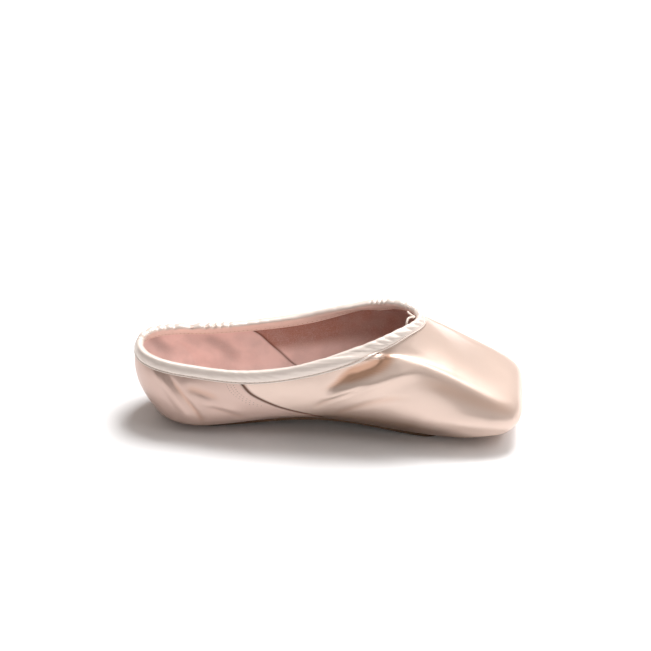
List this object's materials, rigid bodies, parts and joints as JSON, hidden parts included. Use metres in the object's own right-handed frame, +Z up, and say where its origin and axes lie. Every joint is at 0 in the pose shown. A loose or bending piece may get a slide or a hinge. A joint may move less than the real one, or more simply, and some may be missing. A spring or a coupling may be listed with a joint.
{
  "type": "pointe shoe",
  "caption": "Pointe shoe with a hollow satin upper and stiff box, folded collar binding, small drawstring loop, leather outsole and insole, standing flat with no ribbons.",
  "frame": {"origin": "centre of the shoe's bounding box in X and Y, on the floor that its sole stands on", "axes": "+X from the heel to the toe, +Y across the foot to its left side, +Z up"},
  "size_m": [0.2416, 0.069, 0.0791],
  "materials": {
    "satin": "glossy peach satin over stiffened cloth",
    "binding": "pale satin tape, folded and stitched",
    "cord": "soft matte cotton cord",
    "sole_leather": "brown leather, matte",
    "insole_leather": "thin lining leather, matte"
  },
  "bodies": {
    "root": {"upper": "satin", "collar_binding": "binding", "drawstring": "cord", "outsole": "sole_leather", "insole": "insole_leather"}
  },
  "joints": []
}
